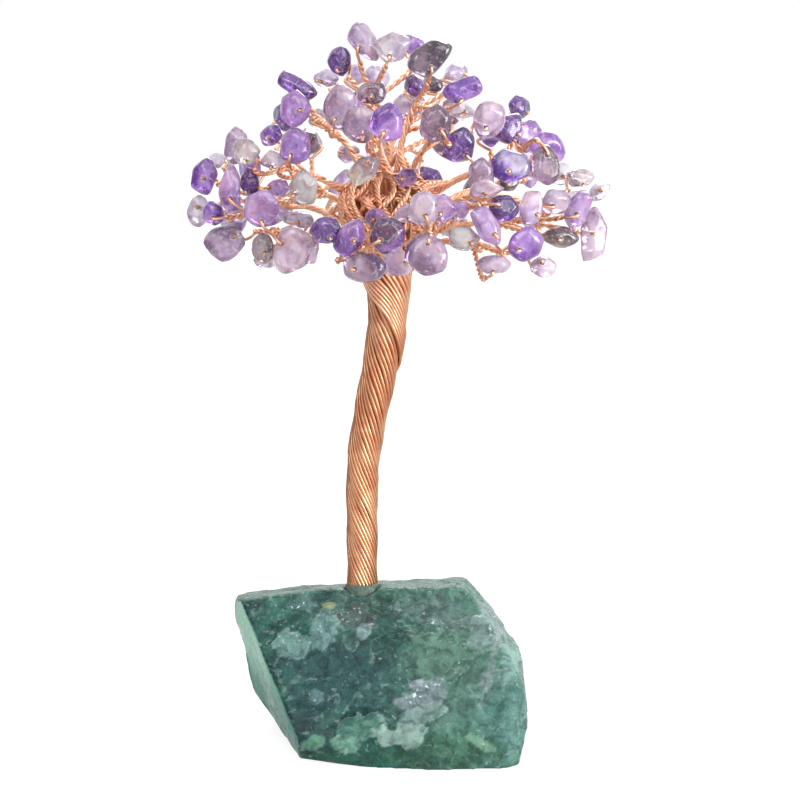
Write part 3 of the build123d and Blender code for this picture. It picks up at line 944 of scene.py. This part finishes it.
def twig_wires(bend, chip):
    """A twisted pair out to the chip's rim. One wire goes on over the chip and through its hole."""
    toward, side, hole = chip["toward"], chip["wire_side"], chip["hole"]
    stand_off = wire_radius + twig_gap
    lift = chip["half"] + stand_off
    shoulder = chip["rim"] - (hole - chip["middle"]).dot(toward)
    rim = chip["middle"] + toward * (chip["rim"] + 2 * stand_off)
    line, span = twig_line(bend, chip, rim)
    frames = line_frames(line)
    _, square, other = frames[-1]
    phase = atan2(side.dot(other), side.dot(square))
    turns_made = 2 * pi * span / twig_lay
    over, short = (
        lay_wire(
            line,
            frames,
            lambda share: wire_radius,
            lambda share, half=half: phase + half + turns_made * (1 - share),
        )
        for half in (0, pi)
    )
    spots = (
        (shoulder * loop_bend[0], lift * loop_bend[1]),
        (shoulder * loop_flat, lift),
        (loop_corner, lift),
        (0, lift - loop_dip),
        (0, lift - 2 * loop_corner),
        (0, 0),
        (0, 2 * loop_corner - lift),
        (0, loop_dip - lift),
        (loop_corner, -lift),
        (shoulder * loop_end, -lift),
    )
    loop = [rim + side * wire_radius * 2 - toward * twig_gap]
    loop += [hole + toward * along + side * up for along, up in spots]
    return [over + loop, short]


# %% Ropes that wind round the hub
hub_ropes_each = 3
hub_rope_wires = 3
hub_lay = 3 * mm
hub_spacing = 0.35 * mm
hub_steps = 30
hub_reach = 3.8 * mm
hub_swell = 4.4 * mm
hub_stray = 0.25
hub_height = 19 * mm
hub_sink = 1.5 * mm
hub_wander = 1.2 * mm
hub_climb_power = 0.8
hub_sweep = 1.7
hub_sweep_stray = 1.2
swirl_per_seed = 2.4
swirl_per_rope = 2.1
hub_stray_pace = 2
hub_wander_pace = 3
ropes_apart = 3.1
hub_join = 0.6
limb_join = 0.2
limb_join_run = 0.45


def hub_line(bend, seed, number):
    """A line that swirls up round the hub and then runs over into its limb."""
    first_swirl = seed * swirl_per_seed + number * swirl_per_rope
    sweep = hub_sweep + hub_sweep_stray * noise.noise((seed, number, 3))
    sweep *= 1 if number % 2 else -1
    line = []
    for step in range(hub_steps + 1):
        share = step / hub_steps
        swirl = first_swirl + sweep * share
        reach = hub_reach + hub_swell * sin(pi * share)
        reach *= 1 + hub_stray * noise.noise((seed, number * ropes_apart, share * hub_stray_pace))
        climb = hub_height * share**hub_climb_power - hub_sink
        climb += hub_wander * noise.noise((seed, number, share * hub_wander_pace))
        point = trunk_middles[-1] + Vector((cos(swirl) * reach, sin(swirl) * reach, climb))
        joined = bend_point(bend, limb_join + limb_join_run * share)
        line.append(point.lerp(joined, smooth_share(share, hub_join, 1)))
    return close_points(line, hub_spacing)


def hub_wires(bend, seed):
    """Ropes of three wires that wind round the hub before they join their limb."""
    wires = []
    for number in range(hub_ropes_each):
        line = hub_line(bend, seed, number)
        stops = (1,) * hub_rope_wires
        wires += rope(line, lambda share: trio_reach, stops, hub_lay, seed + number)
    return wires


# %% Make the limbs
limb_seed = 2.9

for number, limb in enumerate(crown_shares):
    bend = limb_bend(limb)
    wire_routes = limb_wires(bend, number * limb_seed) + hub_wires(bend, number * limb_seed)
    for chip in chips[limb]:
        wire_routes += twig_wires(bend, chip)
    wires = wire_mesh(f"wires_{limb}", wire_routes)
    add_piece(f"wires_{limb}", wires, copper, [f"limb_{limb}"])

# %% [markdown]
# Amethyst is quartz that is coloured in zones, from nearly clear over lilac and smoke to deep
# violet, and cloudy veils run through it. One noise in the shader could colour them all, but each
# of the hundred stones in the photograph has its own colour. So every stone is painted point by
# point with two tones of its own, and the shader adds the zones and veils that are finer than
# that. The shader lets most light through, scatters some, and has a polished coat.

# %% Colours of the stones: the tone, and the zone that it runs over into
stone_colours = {
    "clear": (pigment(246, 242, 248), pigment(226, 216, 230)),
    "cream": (pigment(240, 232, 228), pigment(212, 200, 206)),
    "silver": (pigment(226, 216, 224), pigment(196, 182, 204)),
    "silver green": (pigment(220, 222, 218), pigment(190, 188, 190)),
    "silver lilac": (pigment(218, 200, 220), pigment(176, 150, 184)),
    "pale lilac": (pigment(234, 222, 242), pigment(206, 184, 226)),
    "lilac": (pigment(216, 186, 234), pigment(180, 144, 208)),
    "blush": (pigment(238, 218, 232), pigment(210, 184, 210)),
    "mauve": (pigment(206, 182, 208), pigment(148, 122, 156)),
    "olive grey": (pigment(206, 196, 184), pigment(164, 144, 156)),
    "olive smoke": (pigment(158, 142, 122), pigment(92, 72, 84)),
    "orchid": (pigment(204, 156, 228), pigment(160, 104, 196)),
    "violet": (pigment(192, 150, 224), pigment(128, 80, 178)),
    "royal violet": (pigment(120, 74, 186), pigment(204, 196, 236)),
    "dark violet": (pigment(142, 98, 180), pigment(74, 42, 122)),
    "smoke violet": (pigment(110, 78, 116), pigment(168, 120, 200)),
    "smoke": (pigment(170, 142, 164), pigment(112, 84, 108)),
    "dark smoke": (pigment(136, 118, 136), pigment(80, 62, 80)),
}
print("stone colours", len(stone_colours))

# %% Amethyst
scatter = Vector((1.2, 0.8, 1.3)) * mm
amethyst_roughness = (0.04, 0.16)
amethyst_bump = 0.12 * mm
amethyst_bump_strength = 0.5
veil_share = 0.5

amethyst, tree, shader = new_finish(
    "amethyst", Transmission_Weight=0.7, IOR=1.54, Roughness=0.16, Coat_Weight=0.5,
    Coat_Roughness=0.04, Subsurface_Weight=0.22, Subsurface_Radius=scatter, Subsurface_Scale=1,
)
tone = tree.nodes.new("ShaderNodeAttribute")
tone.attribute_name = "tone"
smoky = blend(tree, 1.0, tone.outputs["Color"], paint(214, 200, 216), "MULTIPLY")
zones = cloud_mask(tree, scale=260, detail=4, distortion=1.6, low=0.42, high=0.66)
zoned = blend(tree, zones, tone.outputs["Color"], smoky)
veil = cloud_mask(tree, scale=520, detail=5, distortion=3, low=0.55, high=0.66)
veiled = blend(tree, ranged(tree, veil, 0, veil_share), zoned, paint(236, 230, 240))
feed(tree, shader.inputs["Base Color"], veiled)
polish = ranged(tree, cloud_mask(tree, scale=900), *amethyst_roughness)
feed(tree, shader.inputs["Roughness"], polish)
dimples = cloud_mask(tree, scale=420, distortion=0.8, low=0.2, high=0.8)
add_bump(tree, shader, dimples, amethyst_bump, amethyst_bump_strength)
print("amethyst ready")

# %% [markdown]
# Tumbling wears a chip round without taking away its flat sides altogether. A chip starts as an
# icosphere, and every point of it is moved out until it meets the bounding sides measured above.
# Where several sides meet, a soft minimum of their distances rounds the corner, and a lower power
# makes a rounder stone. A few more cuts, placed by a fixed seed, leave the odd flats and hollows.
# Round its girdle the stone swells a little past the solid, but never out of the model's box. The
# hole is cut by a boolean with a thin drill.

# %% Tumbled chips
corner_power = 12.5
corner_power_stray = 3.5
extra_flats = 5
flat_power = 40
flat_cut = 0.92
flat_cut_step = 0.02
flat_lean = 0.4
girdle_swell = 0.14
full_share = 0.99
dent_share = 0.025
dent_pace = 1.7
shade_stray = 0.14
shade_seed = 2.1
zone_stray = 0.7
zone_pace = 1.4
zone_contrast = 1.3
ball_rounds = 4


def tumbled_reach(planes, way, power):
    """How far a rounded stone reaches from its middle in one direction."""
    total = sum(max(normal.dot(way) / reach, 0) ** power for normal, reach in planes)
    return total ** (-1 / power)


def tumble(form, chip, seed):
    """Adds one tumbled stone to the bmesh, its two colours running into each other."""
    power = corner_power + corner_power_stray * noise.noise((seed, 0.3, 0.7))
    axis = chip["axis"]
    planes = list(chip["planes"])
    for k in range(extra_flats):
        way = noise.random_unit_vector()
        way = (way - axis * flat_lean * way.dot(axis)).normalized()
        cut = flat_cut + flat_cut_step * k
        planes.append((way, tumbled_reach(planes, way, flat_power) * cut))
    ball = bmesh.ops.create_icosphere(form, subdivisions=ball_rounds, radius=1)["verts"]
    tone_colour, zone_colour = stone_colours[chip["stone"]]
    shade = 1 + shade_stray * noise.noise((seed * shade_seed, 4, 1))
    slant = noise.random_unit_vector()
    for vert in ball:
        way = vert.co.normalized()
        girdle = 1 - way.dot(axis) ** 2
        reach = tumbled_reach(planes, way, power) * (1 + girdle_swell * girdle)
        dent = abs(noise.noise(way * dent_pace + Vector((seed, 0, 0))))
        place = chip["middle"] + way * reach * (full_share - dent_share * dent)
        vert.co = [min(max(along, low), high) for along, low, high in zip(place, *cad_box)]
        run = way.dot(slant) + zone_stray * noise.noise(way * zone_pace + Vector((0, seed, 0)))
        zone = smooth_share(0.5 + zone_contrast * run, 0, 1)
        colour = tone_colour.lerp(zone_colour, zone) * shade
        vert[form.verts.layers.float_color["tone"]] = (*colour, 1)


# %% Drilling
drill_radius = 0.5 * mm
drill_sides = 14
drill_depths = 3


def drill(form, chip):
    """Adds the drill for one chip's hole."""
    turned = chip["axis"].to_track_quat("Z", "Y").to_matrix().to_4x4()
    bmesh.ops.create_cone(
        form,
        cap_ends=True,
        segments=drill_sides,
        radius1=drill_radius,
        radius2=drill_radius,
        depth=drill_depths * chip["half"],
        matrix=Matrix.Translation(chip["hole"]) @ turned,
    )


def finished_mesh(holder):
    """A mesh of its own with what an object's modifiers make."""
    bpy.context.view_layer.update()
    graph = bpy.context.evaluated_depsgraph_get()
    return bpy.data.meshes.new_from_object(holder.evaluated_get(graph), depsgraph=graph)


def discard(*holders):
    """Takes away objects that only helped to make a piece, and their meshes."""
    for holder in holders:
        mesh = holder.data
        bpy.data.objects.remove(holder)
        bpy.data.meshes.remove(mesh)


def drilled(name, stones_form, drills_form):
    """The stones with the drills taken out of them, as one mesh."""
    stones = form_object("stones", stones_form)
    drills = form_object("drills", drills_form)
    cut = stones.modifiers.new("holes", "BOOLEAN")
    cut.operation = "DIFFERENCE"
    cut.solver = "EXACT"
    cut.object = drills
    mesh = finished_mesh(stones)
    discard(stones, drills)
    mesh.name = name
    mesh.shade_smooth()
    return mesh


# %% Make the stones
stone_seed = 11
seed_per_limb = 7.3
seed_per_chip = 1.9
stone_sharp = radians(50)

noise.seed_set(stone_seed)
for number, (limb, group) in enumerate(chips.items()):
    stones_form, drills_form = bmesh.new(), bmesh.new()
    stones_form.verts.layers.float_color.new("tone")
    for index, chip in enumerate(group):
        tumble(stones_form, chip, number * seed_per_limb + index * seed_per_chip)
        drill(drills_form, chip)
    stones = drilled(f"stones_{limb}", stones_form, drills_form)
    stones.set_sharp_from_angle(angle=stone_sharp)
    add_piece(f"stones_{limb}", stones, amethyst, [f"chips_{limb}"])

# %% [markdown]
# Fluorite splits along four directions, so a rough block has flat cleavage faces with steps,
# flakes and bruises on them. The CAD block has the faces. A voxel remesh of a copy gives an even
# skin of small quads that can be worked: its edges are rubbed down, a slow noise makes the faces
# uneven, and steps are made by rounding a noise to whole levels, which leaves flat terraces.

# %% Fluorite skin
skin_voxel = 0.42 * mm
rub_rounds = 5
rub_share = 0.5

holder = form_object("skin", merged_copy("fluorite_base"))
remesh = holder.modifiers.new("skin", "REMESH")
remesh.mode = "VOXEL"
remesh.voxel_size = skin_voxel
block = finished_mesh(holder)
discard(holder)
form = bmesh.new()
form.from_mesh(block)
for _ in range(rub_rounds):
    bmesh.ops.smooth_vert(
        form, verts=form.verts, factor=rub_share, use_axis_x=True, use_axis_y=True, use_axis_z=True
    )
form.normal_update()
print("skin points", len(form.verts))

# %% [markdown]
# The photograph shows where the pale flakes, the bruises and the colour bands lie, so they are
# placed by its pixels: each one is an oval in the picture, and a point of the block belongs to it
# if the camera sees that point inside the oval. A noise frays the ovals' edges. Between them the
# block has slanted bands of a darker green, and its left face is one smooth cleavage.

# %% Marks on the block: middle and half sizes in pixels, slant, colour, lift in mm, painted glints
marks = {
    # Marks named glint are painted highlights, and the last number paints glints into the colour.
    "deep middle": (335, 680, 60, 38, 0, pigment(30, 74, 74), 0, 0.2),
    "deep by the foot": (400, 625, 42, 26, 0, pigment(34, 72, 68), 0, 0.2),
    "mossy right": (452, 648, 50, 34, 10, pigment(88, 124, 108), 0, 0.25),
    "grey veil": (440, 612, 40, 16, -8, pigment(90, 112, 110), 0, 0.6),
    "right shoulder": (492, 622, 18, 34, -28, pigment(122, 142, 142), 0.15, 1.0),
    "right scallops": (508, 664, 11, 26, -14, pigment(122, 160, 150), 0.25, 0.5),
    "violet streak": (489, 676, 6, 34, -14, pigment(120, 138, 138), 0, 0.4),
    "blue corner": (506, 722, 24, 40, 0, pigment(76, 116, 110), 0, 0.15),
    "moss band": (440, 750, 62, 18, 4, pigment(52, 92, 70), 0, 0.15),
    "dark band": (350, 757, 44, 12, 4, pigment(38, 82, 66), 0, 0.1),
    "bruise at the foot": (356, 613, 20, 18, 20, pigment(78, 88, 88), 0.1, 1.0),
    "left flake": (291, 645, 20, 15, 24, pigment(112, 150, 144), 0.3, 0.4),
    "upper flake": (323, 629, 13, 22, -10, pigment(108, 142, 140), 0.2, 0.7),
    "speckled top": (302, 604, 16, 8, -10, pigment(84, 116, 112), 0.05, 1.0),
    "yellow spot": (328, 606, 8, 4, 8, pigment(140, 146, 104), 0.05, 0.3),
    "small glint": (364, 632, 6, 7, -30, pigment(140, 166, 164), 0.1, 0.8),
    "lower glint": (316, 697, 8, 8, 0, pigment(92, 124, 128), 0.1, 0.6),
    "lavender bruise": (424, 696, 27, 15, 18, pigment(132, 144, 150), 0.1, 1.0),
    "white glint": (415, 684, 7, 6, 0, pigment(166, 180, 186), 0.1, 0.8),
    "green flake": (361, 727, 25, 13, 2, pigment(84, 134, 116), 0.5, 0.0),
    "white flake": (404, 736, 26, 12, 6, pigment(146, 172, 162), 0.5, 0.3),
    "veined flake": (421, 716, 30, 9, 12, pigment(122, 148, 142), 0.3, 0.6),
    "foot flake": (346, 746, 16, 8, -8, pigment(124, 168, 148), 0.2, 0.0),
    "left foot flake": (311, 743, 12, 7, 10, pigment(96, 148, 124), 0.15, 0.0),
    "moss glint": (478, 742, 16, 5, -24, pigment(112, 150, 128), 0.15, 0.6),
}
print("marks", len(marks))

# %% Where the marks lie
picture_width = 800
focal_pixels = lens_length / sensor_width * picture_width
mark_edge = (0.84, 1.06)
view_ahead = Vector((0, cos(camera_elevation), -sin(camera_elevation)))
view_up = Vector((0, sin(camera_elevation), cos(camera_elevation)))


def picture_place(co):
    """Where the camera sees a point, in pixels from the picture's upper left corner."""
    offset = co - camera.location
    scale = focal_pixels / offset.dot(view_ahead)
    return picture_width / 2 + offset.x * scale, picture_width / 2 - offset.dot(view_up) * scale


def mark_share(place, fray, middle_x, middle_y, half_x, half_y, slant):
    """How far a place in the picture belongs to a slanted oval mark."""
    x, y = place[0] - middle_x, middle_y - place[1]
    turn = radians(slant)
    along = (x * cos(turn) + y * sin(turn)) / half_x
    over = (y * cos(turn) - x * sin(turn)) / half_y
    return 1 - smooth_share((along * along + over * over) ** 0.5 + fray, *mark_edge)


# %% Shape of the skin
terrace = 0.18 * mm
terrace_levels = 2.2
terrace_pace = 90
warp = 2.5 * mm
warp_pace = 180
wave = 0.5 * mm
wave_pace = 120
ridge = 0.3 * mm
ridge_pace = 260
ridge_middle = 0.4
pitting = 0.07 * mm
pitting_pace = 700


def terrace_height(co):
    """Terraces on a face: a warped noise rounded to whole levels."""
    warped = (noise.noise(co * warp_pace), noise.noise(co * warp_pace + Vector((5, 0, 0))), 0)
    level = noise.noise((co + Vector(warped) * warp) * terrace_pace) * terrace_levels
    return round(level) * terrace


def skin_height(co, rough):
    """How far the skin stands out: a slow wave, and what the rough faces have on top of it."""
    ridges = ridge * (ridge_middle - abs(noise.noise(co * ridge_pace)))
    pits = pitting * noise.noise(co * pitting_pace)
    return wave * noise.noise(co * wave_pace) + (terrace_height(co) + ridges + pits) * rough


# %% Colours of the skin
body_colour = pigment(40, 90, 80)
deep_colour = pigment(24, 62, 60)
pale_and_painted_light_colour = pigment(82, 122, 108)
# A paler green, for the paler right side and for painted light on the top.
pale_colour = pigment(122, 168, 148)
shaded_colour = pigment(52, 110, 96)
rim_highlight_colour = pigment(176, 200, 194)
bands_across = Vector((0.6, 0, 0.35))
bands_up = Vector((-1.3, 0, 2.4))
band_pace = 70
band_layers = 4
band_edge = (0.35, 0.65)
right_pale_and_painted_light = (2 * mm, 16 * mm)
right_pale_and_painted_light_share = 0.75
top_painted_light = (0.7, 0.95)
top_painted_light_share = 0.6
pale_height = (5 * mm, 19 * mm)


def skin_colour_and_light_at(co, normal, smooth_left):
    """Bands, painted light on top and on the paler right side, and paler up the left face."""
    streaked = Vector((co.dot(bands_across), co.y, co.dot(bands_up)))
    band = 0.5 + 0.5 * noise.fractal(streaked * band_pace, 1, 2, band_layers)
    colour = body_colour.lerp(deep_colour, smooth_share(band, *band_edge))
    # The right side is its own paler green and is also painted lighter, as painted light from the
    # right.
    colour = colour.lerp(pale_and_painted_light_colour, smooth_share(co.x, *right_pale_and_painted_light) * right_pale_and_painted_light_share)
    # Faces that look up are painted lighter: painted light on the top.
    colour = colour.lerp(pale_and_painted_light_colour, smooth_share(normal.z, *top_painted_light) * top_painted_light_share)
    left_colour = shaded_colour.lerp(pale_colour, smooth_share(co.z, *pale_height))
    return colour.lerp(left_colour, smooth_left)


# %% Shape and paint the skin
foot_guard = 0.8 * mm
skin_inset = 0.1 * mm
smoothness = 0.85
facing_left = (0.6, 0.85)
facing_front = (0, 0.3)
seen_below = 0.2
# Painted glints on every rough face, kept in the colour's alpha.
plain_glints = 0.25
fray_wide = 0.55
fray_fine = 0.4
fray_fine_pace = 800
mark_colour_share = 0.7
rim_highlight_most = 0.4
rim_highlight_per_lift = 1.2
block_sharp = radians(40)

tint_and_painted_light = form.verts.layers.float_color.new("tint_and_painted_light")
wear = form.verts.layers.float_color.new("wear")
moves = {}
for vert in form.verts:
    co, normal = vert.co.copy(), vert.normal.copy()
    smooth_left = smooth_share(-normal.x, *facing_left) * smooth_share(-normal.y, *facing_front)
    rough = 1 - smoothness * smooth_left
    height = skin_height(co, rough)
    colour = skin_colour_and_light_at(co, normal, smooth_left)
    glints = plain_glints * rough
    if normal.y < seen_below:
        place = picture_place(co)
        fray = fray_wide * noise.noise(co * ridge_pace)
        fray += fray_fine * noise.noise(co * fray_fine_pace)
        for *oval, mark_colour, lift, sparkle in marks.values():
            share = mark_share(place, fray, *oval) * rough
            # A pale rim round each raised mark is a painted highlight on its edge.
            rim = 4 * share * (1 - share) * min(lift * rim_highlight_per_lift, rim_highlight_most)
            height += share * lift * mm
            colour = colour.lerp(mark_colour, share * mark_colour_share).lerp(rim_highlight_colour, rim)
            glints += share * (sparkle - glints)
    guard = min(max(co.z / foot_guard, 0), 1)
    moves[vert] = normal * (height - skin_inset) * guard
    vert[tint_and_painted_light] = (*colour, glints)
    vert[wear] = (rough, rough, rough, 1)
for vert, move in moves.items():
    vert.co += move
    vert.co.z = max(vert.co.z, 0)
form.to_mesh(block)
form.free()
block.shade_smooth()
block.set_sharp_from_angle(angle=block_sharp)
print("marks laid on", len(block.vertices), "points")

# %% [markdown]
# Fluorite is glassy but cloudy, so a little light goes into it and comes back green. The painted
# colours are mottled and veined by noises, except on the smooth left face, and where the marks say
# so, small white specks are painted into the colour as painted glints of cleavage flats.

# %% Fluorite
fluorite_scatter = Vector((0.6, 1.2, 1.1)) * mm
fluorite_roughness = (0.12, 0.36)
fluorite_bump = 0.16 * mm
fluorite_bump_strength = 0.8
vein_share = 0.4

fluorite, tree, shader = new_finish(
    "fluorite", IOR=1.43, Roughness=0.3, Transmission_Weight=0.1, Specular_IOR_Level=0.24,
    Subsurface_Weight=0.15, Subsurface_Radius=fluorite_scatter, Subsurface_Scale=1,
)
painted = tree.nodes.new("ShaderNodeAttribute")
painted.attribute_name = "tint_and_painted_light"
worn_skin = tree.nodes.new("ShaderNodeAttribute")
worn_skin.attribute_name = "wear"
rough_share = worn_skin.outputs["Fac"]


def rough_only(mask):
    """A mask that fades out where the skin is smooth."""
    return combine(tree, "MULTIPLY", mask, rough_share)


spots = rough_only(cloud_mask(tree, scale=480, detail=6, distortion=0.8, low=0.38, high=0.66))
shaded = blend(tree, 1.0, painted.outputs["Color"], paint(176, 186, 190), "MULTIPLY")
mottled = blend(tree, spots, painted.outputs["Color"], shaded)
veins = rough_only(cloud_mask(tree, scale=330, detail=8, distortion=1.6, low=0.55, high=0.72))
veined = blend(tree, ranged(tree, veins, 0, vein_share), mottled, paint(126, 160, 150))
# Painted glints: white specks mixed into the colour where the alpha says so.
sparks = cloud_mask(tree, scale=1300, detail=6, distortion=0.3, low=0.6, high=0.68)
patches = cloud_mask(tree, scale=260, distortion=0.5, low=0.45, high=0.62)
glints = combine(tree, "MULTIPLY", sparks, patches)
glints = combine(tree, "MULTIPLY", glints, painted.outputs["Alpha"])
with_painted_glints = blend(tree, glints, veined, paint(206, 222, 224))
feed(tree, shader.inputs["Base Color"], with_painted_glints)
polish = ranged(tree, cloud_mask(tree, scale=700, detail=4), *fluorite_roughness)
feed(tree, shader.inputs["Roughness"], polish)
dents = rough_only(cloud_mask(tree, scale=1000, detail=6, distortion=0.8, low=0.1, high=0.9))
add_bump(tree, shader, dents, fluorite_bump, fluorite_bump_strength)
add_piece("fluorite_block", block, fluorite, ["fluorite_base"])

# %% [markdown]
# The cement in the socket is a clear resin gone a little yellow. It keeps its CAD shape.

# %% Resin
resin_bump = 0.1 * mm

resin, tree, shader = new_finish(
    "yellowed_resin", IOR=1.5, Roughness=0.3, Transmission_Weight=0.2, Specular_IOR_Level=0.3
)
cloudy = blend(tree, cloud_mask(tree, scale=700), paint(104, 118, 106), paint(76, 102, 94))
feed(tree, shader.inputs["Base Color"], cloudy)
add_bump(tree, shader, cloud_mask(tree, scale=1200), resin_bump)
glue_slots = nodes["socket_adhesive"].material_slots
for material_slot in glue_slots:
    material_slot.material = resin
print("resin on", len(glue_slots), "slot")

# %% [markdown]
# Last, the boxes are printed: the imported model's, and that of the dressed one, which has to stay
# inside it.

# %% Boxes
dressed_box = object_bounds()
for label, (low, high) in (("cad", cad_box), ("dressed", dressed_box)):
    print(label, [round(x / mm, 2) for x in low], [round(x / mm, 2) for x in high])
